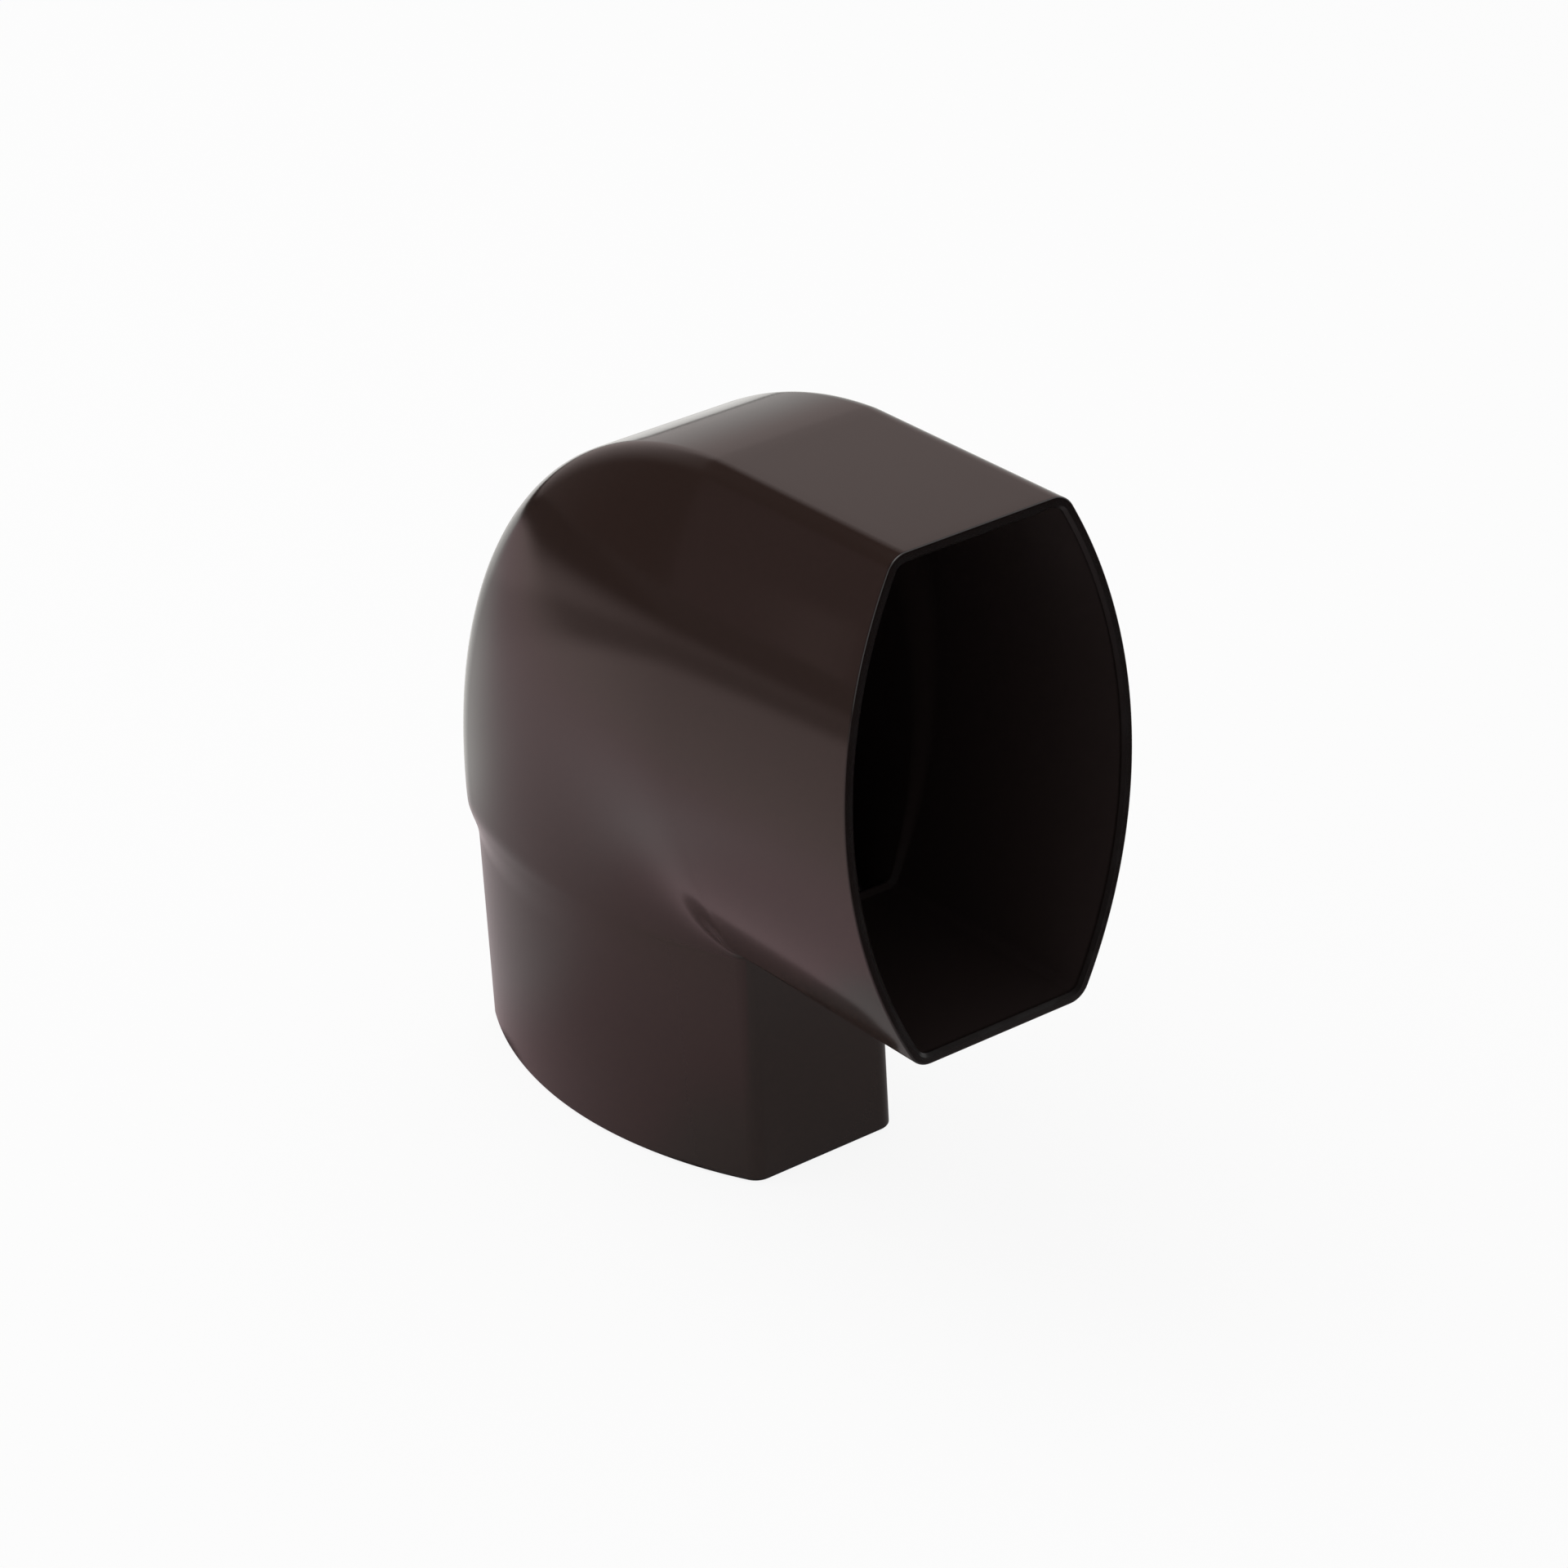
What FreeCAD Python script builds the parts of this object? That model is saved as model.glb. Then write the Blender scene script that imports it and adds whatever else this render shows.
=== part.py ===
"""Downspout elbow: a right-angled bend for barrel-section plastic downpipe, moulded in one piece.

The pipe's section has two flats, on the inside and the outside of the bend, and two bowed sides.
The spigot stands on the origin and points down, and the socket opens towards +X.
Sizes are in millimetres, with +Z up.
"""
import FreeCAD
import Part

import os

# The pipe that the elbow joins
pipe_long = 90.0            # outside, across the two flats
pipe_short = 56.0           # outside, across the crowns of the two bowed sides
pipe_flat = 32.8            # width of a flat, measured to the sharp corners
pipe_wall = 1.8

# The moulding
wall = 2.0
socket_clearance = 0.2      # between pipe and socket, on each side
spigot_clearance = 0.8      # between spigot and the inside of the pipe, on each side
socket_run = 50.5           # straight run of the socket, from the bend to the mouth
spigot_run = 38.0           # straight run of the spigot, from its end to the shoulder
shoulder_run = 7.0          # rise of the tapered shoulder that leads from the spigot to the bend
inner_radius = 2.9          # inside corner of the bend
socket_corner = 2.4         # outer corners of the socket
spigot_corner = 3.5         # outer corners of the spigot
heel_step = 0.6             # the heel stands out this far behind the spigot
heel_spread = 6.5           # the heel's flat is this much wider than the spigot's
heel_corner = 13.6          # outer corners of the heel, rounder than the socket's
crown_step = 0.4            # the bend's sides stand out this far beside the spigot
stop_ledge = 1.2            # ledge at the socket's root that the pipe's end stops against
socket_bore_corner = 0.5    # corners inside the socket are never sharper than this
waterway_corner = 2.0       # nor those inside the bend and the spigot than this
rim_bevel = 0.4             # on the outer edges of both rims, and inside the spigot's
lead_in = 0.6               # bevel just inside the mouth
bend_outlines = 7           # outlines that the bend is drawn through

# Sizes that follow from those above
socket_growth = socket_clearance + wall
spigot_shrink = pipe_wall + spigot_clearance
spigot_long = pipe_long - 2 * spigot_shrink
bend_base = spigot_run + shoulder_run
axis_x = spigot_long / 2 + inner_radius

UP = FreeCAD.Vector(0, 0, 1)
OUT = FreeCAD.Vector(1, 0, 0)
ACROSS = FreeCAD.Vector(0, 1, 0)
QUARTER_TURN = 90.0
HALF_TURN = 180.0


class Section:
    """A barrel outline with a flat at the heel end, a flat at the inner end and two bowed sides.

    It is drawn in a plane through the axis that the bend turns about. heel and inner are the distances
    of its two flats from that axis, width is taken across its crowns, and flats and corners each hold
    a value for the heel end and one for the inner end.
    """

    def __init__(self, heel, inner, width, flats, corners):
        self.heel = heel
        self.inner = inner
        self.width = width
        self.flats = flats
        self.corners = corners

    def wire(self, inset, sharpest):
        """Return the outline, drawn inside the true one by inset, lying level with the axis.

        Its corners follow the true ones at that distance, but none is sharper than sharpest.
        """
        bow = Part.Circle(
            FreeCAD.Vector(self.heel, self.flats[0] / 2, 0),
            FreeCAD.Vector((self.heel + self.inner) / 2, self.width / 2, 0),
            FreeCAD.Vector(self.inner, self.flats[1] / 2, 0),
        )
        centre = bow.Center
        radius = bow.Radius - inset
        ends = []
        for flat, into, corner in (
            (self.heel - inset, -1, self.corners[0]),
            (self.inner + inset, 1, self.corners[1]),
        ):
            size = max(corner - inset, sharpest)
            x = flat + into * size
            y = centre.y + ((radius - size) ** 2 - (x - centre.x) ** 2) ** 0.5
            middle = FreeCAD.Vector(x, y, 0)
            outward = (middle - centre).normalize()
            halfway = (outward - OUT * into).normalize()
            on_flat = FreeCAD.Vector(flat, y, 0)
            on_side = middle + outward * size
            ends.append((on_flat, middle + halfway * size, on_side))
        heel_end, inner_end = ends
        crown = FreeCAD.Vector(centre.x, centre.y + radius, 0)
        side = [
            Part.Arc(*heel_end).toShape(),
            Part.Arc(heel_end[2], crown, inner_end[2]).toShape(),
            Part.Arc(*inner_end).toShape(),
        ]
        far_side = [edge.mirror(FreeCAD.Vector(), ACROSS) for edge in side]
        flats = [
            Part.LineSegment(end[0], FreeCAD.Vector(end[0].x, -end[0].y, 0)).toShape()
            for end in ends
        ]
        loop = [flats[1]] + side[::-1] + [flats[0]] + far_side
        outline = Part.Wire(loop)
        facing = FreeCAD.Rotation(UP, HALF_TURN)
        outline.Placement = FreeCAD.Placement(FreeCAD.Vector(axis_x, 0, bend_base), facing)
        return outline


def between(first, second, share):
    """Return the number that lies a share of the way from the first to the second."""
    return first + (second - first) * share


def eased(share):
    """Return a share from 0 to 1 that sets off and arrives with no slope."""
    return share * share * (3 - 2 * share)


def changed(first, second, reach, spread):
    """Return a section between two: the heel's distance by one share, its widths and corners by another."""
    return Section(
        between(first.heel, second.heel, reach),
        between(first.inner, second.inner, reach),
        between(first.width, second.width, spread),
        [between(a, b, spread) for a, b in zip(first.flats, second.flats)],
        [between(a, b, spread) for a, b in zip(first.corners, second.corners)],
    )


def pipe_outline(growth):
    """Return the width, and the flat's width, of the pipe's outline after it grows evenly."""
    bow = (pipe_short - pipe_flat) / 2
    radius = ((pipe_long / 2) ** 2 + bow ** 2) / (2 * bow)
    centre = pipe_short / 2 - radius
    reach = pipe_long / 2 + growth
    flat = 2 * (centre + ((radius + growth) ** 2 - reach ** 2) ** 0.5)
    return pipe_short + 2 * growth, flat


def raised(wire, rise):
    """Return a copy of an outline, moved up."""
    copy = wire.copy()
    copy.translate(UP * rise)
    return copy


def turned(wire, share):
    """Return a copy of a level outline, turned about the bend's axis by a share of a quarter turn."""
    copy = wire.copy()
    copy.rotate(FreeCAD.Vector(axis_x, 0, bend_base), ACROSS, QUARTER_TURN * share)
    return copy


def drawn_out(wire, run):
    """Return a copy of a level outline, turned upright and moved out along the socket."""
    copy = turned(wire, 1)
    copy.translate(OUT * run)
    return copy


def straight(wires):
    """Return the solid through a row of outlines, with straight sides from each to the next."""
    return Part.makeLoft(wires, True, True)


def flowing(wires):
    """Return the solid that flows smoothly through a row of outlines."""
    return Part.makeLoft(wires, True, False)


def bend_wires(foot, socket, inset, ledge):
    """Return the outlines of the bend, drawn inside by inset and by a ledge that grows to the socket."""
    wires = []
    for step in range(bend_outlines):
        share = step / (bend_outlines - 1)
        section = changed(foot, socket, share, eased(share))
        wires.append(turned(section.wire(inset + ledge * share, waterway_corner), share))
    return wires


def body(spigot, foot, socket, inset, ledge, end_bevel, mouth_bevel):
    """Return the whole elbow as one full solid, drawn inside its true outline by inset.

    The bend is drawn further inside by up to ledge, which it reaches at the root of the socket.
    At the spigot's end and at the mouth, the bevels draw the outline in, or out where negative.
    """
    spigot_wire = spigot.wire(inset, waterway_corner)
    socket_wire = socket.wire(inset, socket_bore_corner)
    spigot_wires = [
        raised(spigot.wire(inset + end_bevel, waterway_corner), -bend_base),
        raised(spigot_wire, abs(end_bevel) - bend_base),
        raised(spigot_wire, -shoulder_run),
        foot.wire(inset, waterway_corner),
    ]
    socket_wires = [
        drawn_out(socket_wire, 0),
        drawn_out(socket_wire, socket_run - abs(mouth_bevel)),
        drawn_out(socket.wire(inset + mouth_bevel, socket_bore_corner), socket_run),
    ]
    bend = flowing(bend_wires(foot, socket, inset, ledge))
    return straight(spigot_wires).fuse([bend, straight(socket_wires)])


def main():
    """Build the elbow and write it out."""
    socket_short, socket_flat = pipe_outline(socket_growth)
    spigot_short, spigot_flat = pipe_outline(-spigot_shrink)
    spigot = Section(
        inner_radius + spigot_long,
        inner_radius,
        spigot_short,
        [spigot_flat, spigot_flat],
        [spigot_corner, spigot_corner],
    )
    foot = Section(
        spigot.heel + heel_step,
        inner_radius,
        spigot_short + 2 * crown_step,
        [spigot_flat + heel_spread, spigot_flat],
        [heel_corner, spigot_corner],
    )
    socket = Section(
        inner_radius + pipe_long + 2 * socket_growth,
        inner_radius,
        socket_short,
        [socket_flat, socket_flat],
        [socket_corner, socket_corner],
    )
    skin = body(spigot, foot, socket, 0, 0, rim_bevel, rim_bevel)
    waterway = body(spigot, foot, socket, wall, stop_ledge, -rim_bevel, -lead_in)
    elbow = skin.cut(waterway).Solids[0]

    os.makedirs("parts", exist_ok=True)
    elbow.exportStep("parts/elbow.step")


main()
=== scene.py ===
"""A moulded brown plastic downspout elbow, standing on its spigot in a plain white studio."""

import logging
import math
from dataclasses import dataclass, field, fields
from enum import Enum
from typing import Any, Union

import bpy
from mathutils import Matrix, Vector


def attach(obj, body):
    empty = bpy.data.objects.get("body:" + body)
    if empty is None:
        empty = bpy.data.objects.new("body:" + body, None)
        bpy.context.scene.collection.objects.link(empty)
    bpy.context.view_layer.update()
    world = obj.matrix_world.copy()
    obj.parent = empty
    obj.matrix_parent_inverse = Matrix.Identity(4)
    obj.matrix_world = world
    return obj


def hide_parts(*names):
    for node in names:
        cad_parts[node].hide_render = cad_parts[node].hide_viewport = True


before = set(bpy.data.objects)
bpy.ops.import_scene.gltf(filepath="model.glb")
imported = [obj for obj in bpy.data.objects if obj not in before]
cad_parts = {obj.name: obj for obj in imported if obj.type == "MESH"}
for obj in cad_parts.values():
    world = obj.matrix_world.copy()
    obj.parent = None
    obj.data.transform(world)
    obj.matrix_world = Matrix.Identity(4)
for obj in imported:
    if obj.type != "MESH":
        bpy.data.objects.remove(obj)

LOG = logging.getLogger("elbow_scene")
QUARTER = math.pi / 2
Number = Union[int, float]
Rgb = tuple[float, float, float]
Spot = tuple[float, float]
Span = tuple[float, float]
Ring = list[Vector]
BLACK: Rgb = (0.0, 0.0, 0.0)
WHITE: Rgb = (1.0, 1.0, 1.0)
NOISE_MEAN = 0.5

# How many steps the moulding is drawn with, round its outline and along the pipe
FLAT_STEPS = 6
CORNER_STEPS = 8
BOW_STEPS = 64
RIM_STEPS = 4
SPIGOT_STEPS = 12
SHOULDER_STEPS = 8
BEND_STEPS = 90
SOCKET_STEPS = 16


class Ray(Enum):
    """The kinds of ray that can be told apart, named as the Light Path node's sockets."""

    CAMERA = "Is Camera Ray"
    GLOSSY = "Is Glossy Ray"
    TRANSMISSION = "Is Transmission Ray"


class Signal:
    """A shader socket that can be used in Python expressions, each of which adds Math nodes."""

    def __init__(self, sheet: "NodeSheet", socket: bpy.types.NodeSocket) -> None:
        """Wrap one output socket of a node on a sheet."""
        self.sheet = sheet
        self.socket = socket

    def _maths(self, operation: str, first: "Operand", second: "Operand") -> "Signal":
        """Return the result of a new Math node on two values or links."""
        return self.sheet.node("ShaderNodeMath", {"operation": operation}, {0: first, 1: second})

    def __add__(self, other: "Operand") -> "Signal":
        """Return self + other."""
        return self._maths("ADD", self, other)

    def __radd__(self, other: Number) -> "Signal":
        """Return other + self."""
        return self._maths("ADD", other, self)

    def __sub__(self, other: "Operand") -> "Signal":
        """Return self - other."""
        return self._maths("SUBTRACT", self, other)

    def __rsub__(self, other: Number) -> "Signal":
        """Return other - self."""
        return self._maths("SUBTRACT", other, self)

    def __mul__(self, other: "Operand") -> "Signal":
        """Return self * other."""
        return self._maths("MULTIPLY", self, other)

    def __rmul__(self, other: Number) -> "Signal":
        """Return other * self."""
        return self._maths("MULTIPLY", other, self)

    def __pow__(self, other: "Operand") -> "Signal":
        """Return self to the power of other."""
        return self._maths("POWER", self, other)

    def largest(self, other: "Operand") -> "Signal":
        """Return the larger of self and other."""
        return self._maths("MAXIMUM", self, other)

    def smallest(self, other: "Operand") -> "Signal":
        """Return the smaller of self and other."""
        return self._maths("MINIMUM", self, other)


Operand = Union[Signal, Number]
Colour = Union[Signal, Rgb]


def opaque(colour: Rgb) -> tuple[float, float, float, float]:
    """Return a colour with full alpha, as sockets take it."""
    return (*colour, 1.0)


def distance_from(first: Signal, second: Signal, centre: Spot) -> Signal:
    """Return how far a place lies from a centre, both given by the same two coordinates."""
    return ((first - centre[0]) ** 2.0 + (second - centre[1]) ** 2.0) ** 0.5


@dataclass(frozen=True)
class Clouds:
    """Cloudy noise: how many clouds there are to a metre, and how many finer layers are added."""

    scale: float
    detail: float


class NodeSheet:
    """The node tree of one material or of the world, with the few calls that fill it."""

    def __init__(self, tree: bpy.types.NodeTree) -> None:
        """Empty a node tree and take it over."""
        self.tree = tree
        tree.nodes.clear()

    def node(
        self, kind: str, settings: dict[str, Any], sockets: dict[Any, Any], output: Any = 0
    ) -> Signal:
        """Add any node.

        Args:
            kind: The node's type.
            settings: Properties of the node, set before its sockets.
            sockets: Values or links for its input sockets, by name or number.
            output: The output socket to hand back, by name or number.

        Returns:
            The chosen output.
        """
        made = self.tree.nodes.new(kind)
        for name, value in settings.items():
            setattr(made, name, value)
        for name, value in sockets.items():
            if isinstance(value, Signal):
                self.tree.links.new(value.socket, made.inputs[name])
            else:
                made.inputs[name].default_value = value
        return Signal(self, made.outputs[output])

    def eased(self, value: Signal, span: Span) -> Signal:
        """Return a smooth step from 0 to 1.

        Args:
            value: The value that is stepped.
            span: Where the step begins and where it ends, which may be the lower of the two.

        Returns:
            The step.
        """
        settings = {"interpolation_type": "SMOOTHSTEP"}
        sockets = {"Value": value, "From Min": span[0], "From Max": span[1]}
        return self.node("ShaderNodeMapRange", settings, sockets)

    def graded(self, value: Signal, span: Span, first: Operand, second: Operand) -> Signal:
        """Return a level that changes smoothly from a first one to a second one along a span."""
        return first + (second - first) * self.eased(value, span)

    def mixed(self, share: Signal, first: Colour, second: Colour) -> Signal:
        """Return a colour between two.

        Args:
            share: How much of the second colour there is.
            first: The first colour or its signal.
            second: The second colour or its signal.

        Returns:
            The colour.
        """
        sockets: dict[str, Any] = {"Factor": share}
        for name, colour in (("A", first), ("B", second)):
            sockets[name] = colour if isinstance(colour, Signal) else opaque(colour)
        return self.node("ShaderNodeMix", {"data_type": "RGBA"}, sockets, "Result")

    def blended(self, share: Signal, first: Signal, second: Signal) -> Signal:
        """Return a shader between two, with a share of the second one."""
        return self.node("ShaderNodeMixShader", {}, {0: share, 1: first, 2: second})

    def split(self, spot: Signal) -> tuple[Signal, Signal, Signal]:
        """Return the three parts of a vector."""
        parts = [self.node("ShaderNodeSeparateXYZ", {}, {0: spot}, axis) for axis in ("X", "Y", "Z")]
        return parts[0], parts[1], parts[2]

    def spot(self) -> Signal:
        """Return the place on the surface, in the object's own frame."""
        return self.node("ShaderNodeTexCoord", {}, {}, "Object")

    def noise(self, spot: Signal, clouds: Clouds) -> Signal:
        """Return cloudy noise between 0 and 1, read at a place."""
        sockets = {"Vector": spot, "Scale": clouds.scale, "Detail": clouds.detail}
        return self.node("ShaderNodeTexNoise", {}, sockets)

    def glowing(self, colour: Signal) -> Signal:
        """Return a shader that gives off a colour and reflects nothing.

        Args:
            colour: The colour.

        Returns:
            The shader.
        """
        sockets = {
            "Base Color": opaque(BLACK),
            "Roughness": 1.0,
            "Specular IOR Level": 0.0,
            "Emission Color": colour,
            "Emission Strength": 1.0,
        }
        return self.node("ShaderNodeBsdfPrincipled", {}, sockets)

    def backdrop(self, strength: float) -> Signal:
        """Return the world's shader for white light of a strength."""
        return self.node("ShaderNodeBackground", {}, {"Color": opaque(WHITE), "Strength": strength})

    def show(self, kind: str, surface: Signal) -> None:
        """Add an output node of a kind, which shows a shader."""
        end = self.tree.nodes.new(kind)
        self.tree.links.new(surface.socket, end.inputs["Surface"])

    def seen_by(self, *rays: Ray) -> Signal:
        """Return 1 for the given kinds of ray and 0 for the rest.

        Args:
            rays: The kinds of ray.

        Returns:
            The largest of the rays' flags.
        """
        flags = [self.node("ShaderNodeLightPath", {}, {}, ray.value) for ray in rays]
        found = flags[0]
        for flag in flags[1:]:
            found = found.largest(flag)
        return found


def new_material(name: str) -> tuple[bpy.types.Material, NodeSheet]:
    """Make an empty node material.

    Args:
        name: The material's name.

    Returns:
        The material and its empty node sheet.
    """
    material = bpy.data.materials.new(name)
    material.use_nodes = True
    return material, NodeSheet(material.node_tree)


@dataclass(frozen=True)
class Patch:
    """A stretch of a card with soft edges, which sets in over one span each way."""

    across: Span
    along: Span

    def on(self, sheet: NodeSheet, first: Signal, second: Signal) -> Signal:
        """Return 1 inside the patch and 0 outside it, at a place given by two coordinates."""
        return sheet.eased(first, self.across) * sheet.eased(second, self.along)


@dataclass(frozen=True)
class Swing:
    """A level that falls by some over one span, and rises by some over another."""

    fall: float
    falls: Span
    rise: float
    rises: Span

    def on(self, sheet: NodeSheet, value: Signal, start: Operand = 1.0) -> Signal:
        """Return the level at a value, for a level that starts out as given."""
        fallen = start - self.fall * sheet.eased(value, self.falls)
        return fallen + self.rise * sheet.eased(value, self.rises)


@dataclass(frozen=True)
class MouldedPlastic:
    """Rigid dark brown plastic, polished outside and satin inside, with rougher rims and painted
    shade.

    Wear sets in over the span worn from a rim. Painted shade darkens the mouth's rim, and a painted
    contact shadow darkens the spigot's foot, over a second span from a rim that reaches further in on
    the inside.
    The inside's tone is painted lighter and greyer, standing in for the light in the mouth.
    """

    deep: Rgb = (0.0250, 0.0147, 0.0121)
    light: Rgb = (0.0276, 0.0164, 0.0135)
    # Painted light: a lighter, greyer tone inside, standing in for the light in the mouth
    inside: Rgb = (0.0310, 0.0218, 0.0208)
    # Painted shade at the mouth's rim, and a painted contact shadow at the spigot's foot
    edge: Rgb = (0.0100, 0.0065, 0.0060)
    roughness: float = 0.10
    core_roughness: float = 0.30
    ior: float = 1.5
    core_mark: str = "core"
    flow: Clouds = Clouds(22.0, 3.0)
    grain: Clouds = Clouds(1500.0, 2.0)
    sway: Clouds = Clouds(60.0, 0.0)
    peel: Clouds = Clouds(380.0, 1.0)
    patches: Clouds = Clouds(260.0, 3.0)
    flow_tint: float = 0.75
    flow_polish: float = 0.05
    grain_polish: float = 0.01
    wear_polish: float = 0.12
    patch_span: Span = (0.42, 0.62)
    worn: Span = (0.0007, 0.0001)
    # Span of the painted rim shade, and how much further in it reaches on the inside
    rim_shade_span: Span = (0.0008, 0.0002)
    rim_shade_setback: float = 0.0006
    wave_height: float = 0.000012
    peel_height: float = 0.05

    def material(self, mouth_x: float) -> bpy.types.Material:
        """Return the finish as a node material.

        Args:
            mouth_x: How far out the mouth's rim lies.

        Returns:
            The material.
        """
        material, sheet = new_material("brown_plastic")
        spot = sheet.spot()
        x, _, z = sheet.split(spot)
        rim = (mouth_x - x).smallest(z)
        flow = sheet.noise(spot, self.flow)
        grain = sheet.noise(spot, self.grain)
        core = sheet.node("ShaderNodeAttribute", {"attribute_name": self.core_mark}, {}, "Fac")

        cloudy = self.flow_tint * flow + (1.0 - self.flow_tint) * grain
        # The inside takes its lighter, greyer tone, which is painted light
        moulded = sheet.mixed(core, sheet.mixed(cloudy, self.deep, self.light), self.inside)
        # Painted shade: darkens the mouth's rim and the spigot's foot, further in on the inside
        dark = sheet.eased(rim - self.rim_shade_setback * core, self.rim_shade_span)
        colour = sheet.mixed(dark, moulded, self.edge)

        patchy = sheet.eased(sheet.noise(spot, self.patches), self.patch_span)
        roughness = (
            self.roughness
            + self.flow_polish * (flow - NOISE_MEAN)
            + self.grain_polish * (grain - NOISE_MEAN)
            + self.wear_polish * (sheet.eased(rim, self.worn) * patchy)
            + (self.core_roughness - self.roughness) * core
        )
        waves = sheet.noise(spot, self.sway) + self.peel_height * sheet.noise(spot, self.peel)
        bump = {"Strength": 1.0, "Distance": self.wave_height, "Height": waves}
        sockets = {
            "Base Color": colour,
            "Roughness": roughness,
            "IOR": self.ior,
            "Normal": sheet.node("ShaderNodeBump", {}, bump),
        }
        sheet.show("ShaderNodeOutputMaterial", sheet.node("ShaderNodeBsdfPrincipled", {}, sockets))
        return material


@dataclass(frozen=True)
class FloorPaint:
    """Matt white floor, which looks white to the eye and keeps its shadows."""

    colour: Rgb = (0.9, 0.9, 0.9)
    lift: float = 0.90

    def material(self) -> bpy.types.Material:
        """Return the finish as a node material.

        Returns:
            The material.
        """
        material, sheet = new_material("floor_paint")
        matt = sheet.node("ShaderNodeBsdfDiffuse", {}, {"Color": opaque(self.colour)})
        white = sheet.node("ShaderNodeEmission", {}, {"Color": opaque(WHITE), "Strength": 1.0})
        seen = sheet.seen_by(Ray.CAMERA, Ray.GLOSSY, Ray.TRANSMISSION)
        sheet.show("ShaderNodeOutputMaterial", sheet.blended(self.lift * seen, matt, white))
        return material


@dataclass(frozen=True)
class TablePaint:
    """Glow of the table that the gloss shows: warm near the part, pale behind it, dark far off.

    A dim trough crosses the table, the light falls off beyond a slanting far edge, and it is lower
    under the socket and close round the spigot. A patch ahead of the spigot is grey.
    """

    # Tones, and where each sets in along X and along Y
    warm: Rgb = (0.515, 0.400, 0.390)
    rosy: Rgb = (0.505, 0.360, 0.380)
    plain: Rgb = (0.56, 0.485, 0.495)
    grey: Rgb = (0.40, 0.375, 0.375)
    pale: Rgb = (1.0, 0.99, 0.96)
    rosy_span: Span = (-0.14, -0.06)
    grey_patch: Patch = Patch((0.012, 0.030), (-0.06, -0.03))
    plain_patch: Patch = Patch((-0.02, -0.06), (-0.11, -0.03))
    pale_patch: Patch = Patch((-0.10, -0.16), (-0.080, -0.005))

    # Light along the table, in front of the part, behind it and at the near end
    slant: float = 0.3
    faint: Span = (0.06, 0.26)
    faint_span: Span = (-0.40, -0.56)
    front_edge: Span = (-0.626, -0.456)
    front_swing: Swing = Swing(0.64, (-0.225, -0.285), 0.26, (-0.325, -0.385))
    back_edge: Span = (-0.66, -0.55)
    back_swing: Swing = Swing(0.15, (-0.22, -0.30), 0.35, (-0.33, -0.40))
    front_to_back: Span = (-0.17, -0.10)
    near_end: Span = (0.18, 0.12)
    near_end_level: float = 0.1

    # Shade under the spigot, close round it and under the socket
    foot: Spot = (0.0424, 0.0254)
    foot_squareness: float = 4.0
    foot_edge: Span = (0.88, 0.96)
    halo: Span = (1.6, 3.6)
    halo_levels: Span = (0.80, 0.90)
    halo_span: Span = (-0.03, -0.06)
    shade: Spot = (0.06, 0.01)
    shade_level: float = 0.7
    shade_reach: float = 0.085

    def brightness(self, sheet: NodeSheet, x: Signal, y: Signal) -> Signal:
        """Return how bright the table is.

        Args:
            sheet: The node sheet.
            x: The place's first coordinate.
            y: The place's second coordinate.

        Returns:
            The brightness, 0 where the table is black.
        """
        far = x + self.slant * y
        faint = sheet.graded(y, self.faint_span, *self.faint)
        front = self.front_swing.on(sheet, x) * sheet.graded(far, self.front_edge, faint, 1.0)
        back = self.back_swing.on(sheet, x) * sheet.eased(far, self.back_edge)
        spread = sheet.graded(y, self.front_to_back, front, back)

        power = self.foot_squareness
        sides = (x * (1 / self.foot[0])) ** power + (y * (1 / self.foot[1])) ** power
        round_foot = sides ** (1 / power)
        least = sheet.graded(x, self.halo_span, *self.halo_levels)
        contact = sheet.graded(round_foot, self.halo, least, 1.0)
        reach = distance_from(x, y, self.shade)
        overhang = sheet.graded(reach, (0.0, self.shade_reach), self.shade_level, 1.0)
        near = contact * overhang * sheet.eased(round_foot, self.foot_edge)
        return spread * near * sheet.graded(x, self.near_end, self.near_end_level, 1.0)

    def material(self) -> bpy.types.Material:
        """Return the finish as a node material, clear from below.

        Returns:
            The material.
        """
        material, sheet = new_material("table_paint")
        x, y, _ = sheet.split(sheet.spot())
        colour = sheet.mixed(sheet.eased(y, self.rosy_span), self.warm, self.rosy)
        for patch, tone in (
            (self.grey_patch, self.grey),
            (self.plain_patch, self.plain),
            (self.pale_patch, self.pale),
        ):
            colour = sheet.mixed(patch.on(sheet, x, y), colour, tone)
        glow = sheet.glowing(sheet.mixed(self.brightness(sheet, x, y), BLACK, colour))
        below = sheet.node("ShaderNodeNewGeometry", {}, {}, "Backfacing")
        clear = sheet.node("ShaderNodeBsdfTransparent", {}, {})
        sheet.show("ShaderNodeOutputMaterial", sheet.blended(below, glow, clear))
        return material


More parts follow.
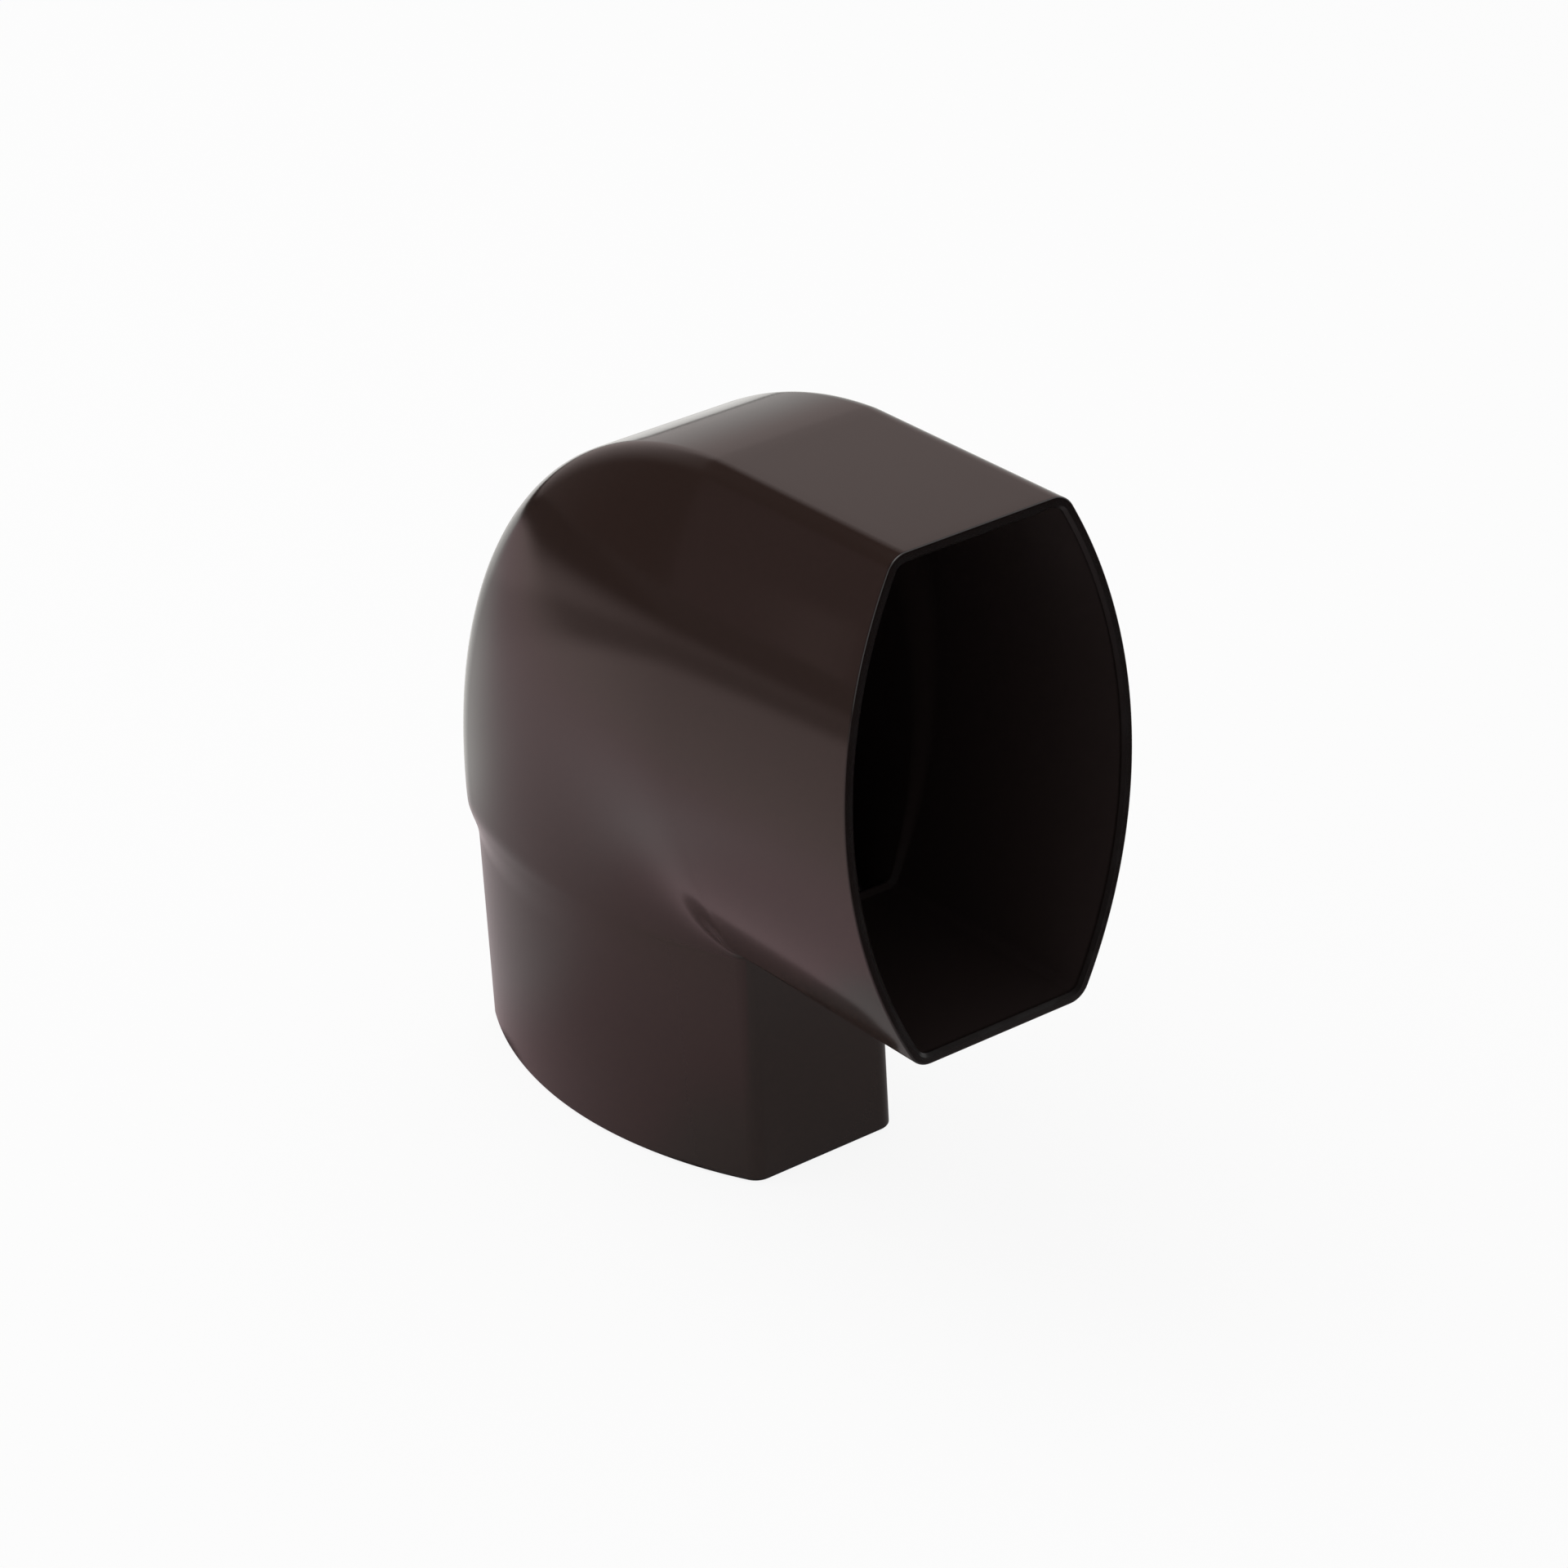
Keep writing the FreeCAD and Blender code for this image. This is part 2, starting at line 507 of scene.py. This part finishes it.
@dataclass(frozen=True)
class WallPaint:
    """Glow of the wall that the gloss shows: a pale stretch behind the part, dark in front and above.

    The dark stretch turns to dusk far in front, where a short light post stands.
    """

    pale: Rgb = (0.555, 0.475, 0.462)
    bright: Rgb = (0.61, 0.59, 0.575)
    dark: Rgb = (0.035, 0.022, 0.020)
    dusk: Rgb = (0.110, 0.075, 0.079)
    post: Rgb = (0.42, 0.31, 0.29)
    bright_patch: Patch = Patch((0.40, 0.62), (0.45, 0.15))
    dusk_patch: Patch = Patch((-0.70, -0.86), (0.8, 0.5))
    post_near: Span = (-0.922, -0.935)
    post_far: Span = (-0.955, -0.942)
    post_top: Span = (0.24, 0.16)
    lean: float = 0.6
    pale_from: Span = (-0.45, 0.65)
    pale_top: Span = (1.0, 0.36)
    top_swing: Swing = Swing(0.25, (0.15, 0.5), 0.12, (-0.35, -0.6))

    def material(self) -> bpy.types.Material:
        """Return the finish as a node material.

        Returns:
            The material.
        """
        material, sheet = new_material("wall_paint")
        _, y, z = sheet.split(sheet.spot())
        beside = sheet.eased(y, self.post_near) * sheet.eased(y, self.post_far)
        dusky = sheet.mixed(self.dusk_patch.on(sheet, y, z), self.dark, self.dusk)
        night = sheet.mixed(beside * sheet.eased(z, self.post_top), dusky, self.post)
        day = sheet.mixed(self.bright_patch.on(sheet, y, z), self.pale, self.bright)
        below_top = sheet.eased(self.top_swing.on(sheet, y, z), self.pale_top)
        shown = sheet.eased(y + self.lean * z, self.pale_from) * below_top
        sheet.show("ShaderNodeOutputMaterial", sheet.glowing(sheet.mixed(shown, night, day)))
        return material


@dataclass(frozen=True)
class FlagPaint:
    """Dark cloth of the flag in front of the mouth, with the glow of a soft lamp beside the camera."""

    cloth: Rgb = (0.012, 0.011, 0.011)
    lamp: Rgb = (1.0, 0.98, 0.95)
    lamp_spot: Spot = (-1.0, 1.2)
    lamp_span: Span = (0.45, 0.15)

    def material(self) -> bpy.types.Material:
        """Return the finish as a node material.

        Returns:
            The material.
        """
        material, sheet = new_material("flag_paint")
        _, y, z = sheet.split(sheet.spot())
        lit = sheet.eased(distance_from(y, z, self.lamp_spot), self.lamp_span)
        colour = sheet.mixed(lit, self.cloth, self.lamp)
        sheet.show("ShaderNodeOutputMaterial", sheet.glowing(colour))
        return material


def ease(share: float) -> float:
    """Return a share from 0 to 1 that sets off and arrives with no slope."""
    return share * share * (3 - 2 * share)


def steps(count: int, first: int = 1) -> list[float]:
    """Return evenly spaced shares, from the first of a count of steps up to 1."""
    return [i / count for i in range(first, count + 1)]


def arc(centre: Vector, radius: float, start: float, end: float, count: int) -> list[Spot]:
    """Return some points along an arc between two bearings, without the point that it starts at."""
    bearings = [start + (end - start) * share for share in steps(count)]
    return [(centre.x + radius * math.cos(b), centre.y + radius * math.sin(b)) for b in bearings]


@dataclass(frozen=True)
class Section:
    """A barrel outline with two flats and two bowed sides, in a plane through the bend's axis.

    The two flats lie across the plane at the distances heel and inner from the axis.
    """

    heel: float
    inner: float
    width: float
    heel_flat: float
    inner_flat: float
    heel_corner: float
    inner_corner: float

    def towards(self, other: "Section", reach: float, spread: float) -> "Section":
        """Return a section part of the way to another one.

        Args:
            other: The section to change to.
            reach: How far the flats' distances have changed, from 0 to 1.
            spread: How far the widths and corners have changed, from 0 to 1.

        Returns:
            The section between the two.
        """
        sizes = {}
        for each in fields(self):
            near, far = getattr(self, each.name), getattr(other, each.name)
            share = reach if each.name in ("heel", "inner") else spread
            sizes[each.name] = near + (far - near) * share
        return Section(**sizes)

    def bow(self) -> tuple[Vector, float]:
        """Fit the bowed side's arc through the ends of the flats and the crown.

        Returns:
            The arc's centre and its radius.
        """
        inner = Vector((self.inner, self.inner_flat / 2))
        crown = Vector(((self.heel + self.inner) / 2, self.width / 2))
        heel_side = Vector((self.heel, self.heel_flat / 2)) - inner
        crown_side = crown - inner
        heel_square = heel_side.length_squared
        crown_square = crown_side.length_squared
        turn = 2 * heel_side.cross(crown_side)
        centre = inner + Vector((
            (crown_side.y * heel_square - heel_side.y * crown_square) / turn,
            (heel_side.x * crown_square - crown_side.x * heel_square) / turn,
        ))
        return centre, (crown - centre).length

    def outline(self, inset: float, sharpest: float) -> list[Spot]:
        """Return half of the outline, from the middle of the heel's flat to that of the inner one.

        Args:
            inset: How far inside the true outline to draw.
            sharpest: The least radius of a corner.

        Returns:
            Points as distance from the axis and distance from the middle plane.
        """
        centre, radius = self.bow()
        radius -= inset
        ends = []
        for flat, into, corner in (
            (self.heel - inset, -1.0, self.heel_corner),
            (self.inner + inset, 1.0, self.inner_corner),
        ):
            size = max(corner - inset, sharpest)
            x = flat + into * size
            y = centre.y + math.sqrt((radius - size) ** 2 - (x - centre.x) ** 2)
            ends.append((flat, Vector((x, y)), size, math.atan2(y - centre.y, x - centre.x)))
        (heel, heel_middle, heel_size, heel_end), (inner, inner_middle, inner_size, inner_end) = ends
        points = [(heel, 0.0)]
        points += [(heel, heel_middle.y * share) for share in steps(FLAT_STEPS)]
        points += arc(heel_middle, heel_size, 0.0, heel_end, CORNER_STEPS)
        points += arc(centre, radius, heel_end, inner_end, BOW_STEPS)
        points += arc(inner_middle, inner_size, inner_end, math.pi, CORNER_STEPS)
        points += [(inner, inner_middle.y * (1 - share)) for share in steps(FLAT_STEPS)]
        return points


@dataclass
class Elbow:
    """The elbow itself: one moulding, from the spigot's end to the socket's mouth."""

    node: str = "elbow"
    slot: str = "brown_plastic"
    finish: MouldedPlastic = field(default_factory=MouldedPlastic)

    # The pipe that the elbow joins
    pipe_long: float = 0.0900
    pipe_short: float = 0.0560
    pipe_flat: float = 0.0328

    # The moulding
    wall: float = 0.0020
    socket_growth: float = 0.0022
    spigot_shrink: float = 0.0026
    socket_run: float = 0.0505
    spigot_run: float = 0.0380
    shoulder_run: float = 0.0070
    swell_run: float = 0.0130
    inner_radius: float = 0.0029
    socket_corner: float = 0.0044
    spigot_corner: float = 0.0035
    heel_step: float = 0.0006
    heel_spread: float = 0.0065
    heel_corner: float = 0.0136
    crown_step: float = 0.0004
    ledge: float = 0.0012
    ledge_share: float = 0.1
    socket_bore_corner: float = 0.0005
    waterway_corner: float = 0.0020
    rim: float = 0.0004
    lead_in: float = 0.0006
    sharp_from: float = math.radians(40)

    def __post_init__(self) -> None:
        """Work out the places and the sections that follow from the sizes."""
        spigot_long = self.pipe_long - 2 * self.spigot_shrink
        self.base = self.spigot_run + self.shoulder_run
        self.axis_x = spigot_long / 2 + self.inner_radius
        self.mouth_x = self.axis_x + self.socket_run
        width, flat = self.pipe_outline(-self.spigot_shrink)
        corner = self.spigot_corner
        heel = self.inner_radius + spigot_long
        self.spigot = Section(heel, self.inner_radius, width, flat, flat, corner, corner)
        self.foot = Section(
            heel + self.heel_step,
            self.inner_radius,
            width + 2 * self.crown_step,
            flat + self.heel_spread,
            flat,
            self.heel_corner,
            corner,
        )
        width, flat = self.pipe_outline(self.socket_growth)
        corner = self.socket_corner
        heel = self.inner_radius + self.pipe_long + 2 * self.socket_growth
        self.socket = Section(heel, self.inner_radius, width, flat, flat, corner, corner)

    def pipe_outline(self, growth: float) -> tuple[float, float]:
        """Let the pipe's outline grow evenly.

        Args:
            growth: How far it grows on each side, or shrinks where negative.

        Returns:
            Its new width across the crowns, and the new width of its flats.
        """
        pipe = Section(self.pipe_long, 0.0, self.pipe_short, self.pipe_flat, self.pipe_flat, 0.0, 0.0)
        centre, radius = pipe.bow()
        reach = self.pipe_long / 2 + growth
        flat = 2 * (centre.y + math.sqrt((radius + growth) ** 2 - reach ** 2))
        return self.pipe_short + 2 * growth, flat

    def ring(
        self, section: Section, inset: float, angle: float, slide: float, sharpest: float
    ) -> Ring:
        """Return one ring of points round the pipe.

        Args:
            section: The outline.
            inset: How far inside the outline to draw.
            angle: How far the bend has turned, 0 at its foot and a quarter turn at the socket.
            slide: How far beyond the bend's end the ring lies, along the pipe.
            sharpest: The least radius of a corner.

        Returns:
            The ring's points.
        """
        half = section.outline(inset, sharpest)
        loop = half + [(d, -y) for d, y in half[-2:0:-1]]
        cosine, sine = math.cos(angle), math.sin(angle)
        return [
            Vector((self.axis_x - d * cosine + slide * sine, y, self.base + d * sine + slide * cosine))
            for d, y in loop
        ]

    def swollen(self, section: Section, rise: float) -> Section:
        """Return a section that has only begun to swell out of the spigot.

        Args:
            section: The section that the swelling leads to.
            rise: How far above the spigot's straight run it lies, measured along the heel.

        Returns:
            The section at that height.
        """
        share = ease(min(1.0, rise / self.swell_run))
        return self.spigot.towards(section, share, share)

    def spigot_ring(self, inset: float, height: float) -> Ring:
        """Return a level ring of the spigot, at a height above its end."""
        return self.ring(self.spigot, inset, 0.0, height - self.base, self.waterway_corner)

    def shoulder_ring(self, inset: float, share: float) -> Ring:
        """Return a level ring of the shoulder, after a share of its rise.

        Args:
            inset: How far inside the outline to draw.
            share: The share, from 0 at the spigot to 1 at the bend's foot.

        Returns:
            The ring's points.
        """
        rise = self.shoulder_run * share
        section = self.swollen(self.foot, rise)
        return self.ring(section, inset, 0.0, rise - self.shoulder_run, self.waterway_corner)

    def bend_ring(self, inset: float, share: float) -> Ring:
        """Return a ring of the bend, after a share of its quarter turn.

        Args:
            inset: How far inside the outline to draw.
            share: The share, from 0 at the bend's foot to 1 at the socket.

        Returns:
            The ring's points.
        """
        rise = self.shoulder_run + self.foot.heel * QUARTER * share
        section = self.swollen(self.foot.towards(self.socket, share, ease(share)), rise)
        return self.ring(section, inset, QUARTER * share, 0.0, self.waterway_corner)

    def socket_ring(self, inset: float, run: float) -> Ring:
        """Return an upright ring of the socket, at a distance from the end of the bend."""
        return self.ring(self.socket, inset, QUARTER, run, self.socket_bore_corner)

    def outer_rings(self) -> list[Ring]:
        """Draw the outside, from the spigot's end up to the mouth.

        Returns:
            Its rings.
        """
        turns = [QUARTER * share for share in steps(RIM_STEPS, 0)]
        rounds = [(self.rim * (1 - math.sin(t)), self.rim * (1 - math.cos(t))) for t in turns]
        rings = [self.spigot_ring(inset, back) for inset, back in rounds]
        straight = self.spigot_run - self.rim
        rings += [self.spigot_ring(0.0, self.rim + straight * share) for share in steps(SPIGOT_STEPS)]
        rings += [self.shoulder_ring(0.0, share) for share in steps(SHOULDER_STEPS)]
        rings += [self.bend_ring(0.0, share) for share in steps(BEND_STEPS)]
        straight = self.socket_run - self.rim
        rings += [self.socket_ring(0.0, straight * share) for share in steps(SOCKET_STEPS)]
        rings += [self.socket_ring(inset, self.socket_run - back) for inset, back in rounds[-2::-1]]
        return rings

    def inner_rings(self) -> list[Ring]:
        """Draw the inside, from the mouth back down to the spigot's end.

        Returns:
            Its rings.
        """
        rings = [self.socket_ring(self.wall - self.lead_in, self.socket_run)]
        straight = self.socket_run - self.lead_in
        for share in steps(SOCKET_STEPS, 0):
            rings.append(self.socket_ring(self.wall, straight * (1 - share)))
        for share in steps(BEND_STEPS, 0):
            stop = self.ledge * (1 - share) * ease(min(1.0, share / self.ledge_share))
            rings.append(self.bend_ring(self.wall + stop, 1 - share))
        rings += [self.shoulder_ring(self.wall, 1 - share) for share in steps(SHOULDER_STEPS)]
        straight = self.spigot_run - self.rim
        for share in steps(SPIGOT_STEPS):
            rings.append(self.spigot_ring(self.wall, self.rim + straight * (1 - share)))
        rings.append(self.spigot_ring(self.wall - self.rim, 0.0))
        return rings

    def dress(self) -> None:
        """Build the moulding's mesh and give it its finish."""
        outside, inside = self.outer_rings(), self.inner_rings()
        rings = outside + inside
        count = len(rings[0])
        faces = []
        for i in range(len(rings)):
            here, there = i * count, (i + 1) % len(rings) * count
            for j in range(count):
                k = (j + 1) % count
                faces.append((here + j, here + k, there + k, there + j))
        mesh = bpy.data.meshes.new("elbow_moulding")
        mesh.from_pydata([tuple(p) for ring in rings for p in ring], [], faces)
        mark = mesh.attributes.new(self.finish.core_mark, "FLOAT", "POINT")
        mark.data.foreach_set("value", [0.0] * count * len(outside) + [1.0] * count * len(inside))
        mesh.shade_smooth()
        mesh.set_sharp_from_angle(angle=self.sharp_from)
        mesh.materials.append(self.finish.material(self.mouth_x))
        piece = bpy.data.objects.new("elbow_moulding", mesh)
        bpy.context.scene.collection.objects.link(piece)
        weight = piece.modifiers.new("weights", "WEIGHTED_NORMAL")
        weight.keep_sharp = True
        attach(piece, "root")
        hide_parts(self.node)
        LOG.info("built %s with %d faces", piece.name, len(faces))


@dataclass
class Viewpoint:
    """The camera, set by the direction that it looks from and the point that it looks at."""

    azimuth: float = math.radians(54.90)
    elevation: float = math.radians(27.18)
    roll: float = math.radians(-3.41)
    distance: float = 0.9565
    target: Vector = field(default_factory=lambda: Vector((0.03633, 0.0, 0.07266)))
    lens: float = 125.84
    sensor: float = 36.0
    near_clip: float = 0.01

    def place(self) -> None:
        """Make the camera and use it for the scene."""
        level = math.cos(self.elevation)
        back = Vector(
            (math.sin(self.azimuth) * level, -math.cos(self.azimuth) * level, math.sin(self.elevation))
        )
        right = Vector((math.cos(self.azimuth), math.sin(self.azimuth), 0.0))
        up = back.cross(right)
        turned_right = right * math.cos(self.roll) + up * math.sin(self.roll)
        turned_up = up * math.cos(self.roll) - right * math.sin(self.roll)
        data = bpy.data.cameras.new("camera")
        data.lens = self.lens
        data.sensor_width = self.sensor
        data.sensor_fit = "HORIZONTAL"
        data.clip_start = self.near_clip
        camera = bpy.data.objects.new("camera", data)
        axes = Matrix((turned_right, turned_up, back)).transposed().to_4x4()
        camera.matrix_world = Matrix.Translation(self.target + back * self.distance) @ axes
        bpy.context.scene.collection.objects.link(camera)
        bpy.context.scene.camera = camera
        LOG.info("camera at %s", tuple(round(x, 3) for x in camera.location))


@dataclass
class Studio:
    """The floor, the cards that the gloss reflects, the lamp and the world."""

    floor_reach: float = 6.0
    floor_z: float = -0.0004
    table_z: float = -0.0002
    wall_x: float = -0.9
    flag_x: float = 0.75
    card_reach: float = 1.6
    card_height: float = 1.4
    lamp_place: tuple[float, float, float] = (-0.45, -0.25, 1.4)
    lamp_size: float = 1.0
    lamp_power: float = 7.0
    fill: float = 0.72
    dim: float = 0.44
    fill_span: Span = (0.35, -0.25)

    def sheet_of(
        self, name: str, corners: list[Vector], material: bpy.types.Material
    ) -> bpy.types.Object:
        """Make a flat four-sided stage piece.

        Args:
            name: Its name.
            corners: Its corners, in order.
            material: Its finish.

        Returns:
            The new object.
        """
        mesh = bpy.data.meshes.new(name)
        mesh.from_pydata([tuple(c) for c in corners], [], [(0, 1, 2, 3)])
        mesh.materials.append(material)
        piece = bpy.data.objects.new(name, mesh)
        bpy.context.scene.collection.objects.link(piece)
        LOG.info("stage piece %s", name)
        return piece

    def card(self, name: str, corners: list[Vector], material: bpy.types.Material) -> None:
        """Make a card that shows only in reflections.

        Args:
            name: Its name.
            corners: Its corners, in order.
            material: Its finish.
        """
        piece = self.sheet_of(name, corners, material)
        piece.visible_camera = False
        piece.visible_diffuse = False
        piece.visible_transmission = False
        piece.visible_shadow = False

    def lying(self, across: Span, reach: float, z: float) -> list[Vector]:
        """Return the corners of a level sheet that faces up.

        Args:
            across: Where it begins and ends along the X axis.
            reach: How far it reaches along the Y axis, both ways.
            z: How high it lies.

        Returns:
            The corners, in order.
        """
        low, high = across
        places = ((low, -reach), (high, -reach), (high, reach), (low, reach))
        return [Vector((x, y, z)) for x, y in places]

    def upright(self, x: float) -> list[Vector]:
        """Return the corners of an upright card across the X axis.

        Args:
            x: Where it stands.

        Returns:
            The corners, in order.
        """
        reach, top = self.card_reach, self.card_height
        places = ((-reach, 0.0), (reach, 0.0), (reach, top), (-reach, top))
        return [Vector((x, y, z)) for y, z in places]

    def hang_lamp(self) -> None:
        """Hang the soft lamp above and behind the part, turned to it."""
        lamp = bpy.data.lights.new("overhead", "AREA")
        lamp.shape = "SQUARE"
        lamp.size = self.lamp_size
        lamp.energy = self.lamp_power
        overhead = bpy.data.objects.new("overhead", lamp)
        overhead.location = self.lamp_place
        overhead.rotation_euler = Vector(self.lamp_place).to_track_quat("Z", "Y").to_euler()
        bpy.context.scene.collection.objects.link(overhead)

    def light_world(self) -> None:
        """Make the world: soft light from behind the part, and white where it is looked at."""
        world = bpy.data.worlds.new("world")
        bpy.context.scene.world = world
        world.use_nodes = True
        sheet = NodeSheet(world.node_tree)
        away, _, _ = sheet.split(sheet.node("ShaderNodeTexCoord", {}, {}, "Generated"))
        behind = sheet.eased(away, self.fill_span)
        light = sheet.blended(behind, sheet.backdrop(self.dim), sheet.backdrop(self.fill))
        seen = sheet.seen_by(Ray.CAMERA, Ray.GLOSSY, Ray.TRANSMISSION)
        sheet.show("ShaderNodeOutputWorld", sheet.blended(seen, light, sheet.backdrop(1.0)))

    def build(self) -> None:
        """Build the whole studio."""
        floor = self.lying((-self.floor_reach, self.floor_reach), self.floor_reach, self.floor_z)
        self.sheet_of("floor", floor, FloorPaint().material())
        table = self.lying((self.wall_x, self.flag_x), self.card_reach, self.table_z)
        self.card("table_card", table, TablePaint().material())
        self.card("wall_card", self.upright(self.wall_x), WallPaint().material())
        self.card("flag_card", self.upright(self.flag_x), FlagPaint().material())
        self.hang_lamp()
        self.light_world()


def main() -> None:
    """Dress the elbow, build the studio around it and place the camera."""
    logging.basicConfig(level=logging.INFO)
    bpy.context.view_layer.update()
    bpy.context.scene.view_settings.view_transform = "Standard"
    Elbow().dress()
    Studio().build()
    Viewpoint().place()


if __name__ == "__main__":
    main()
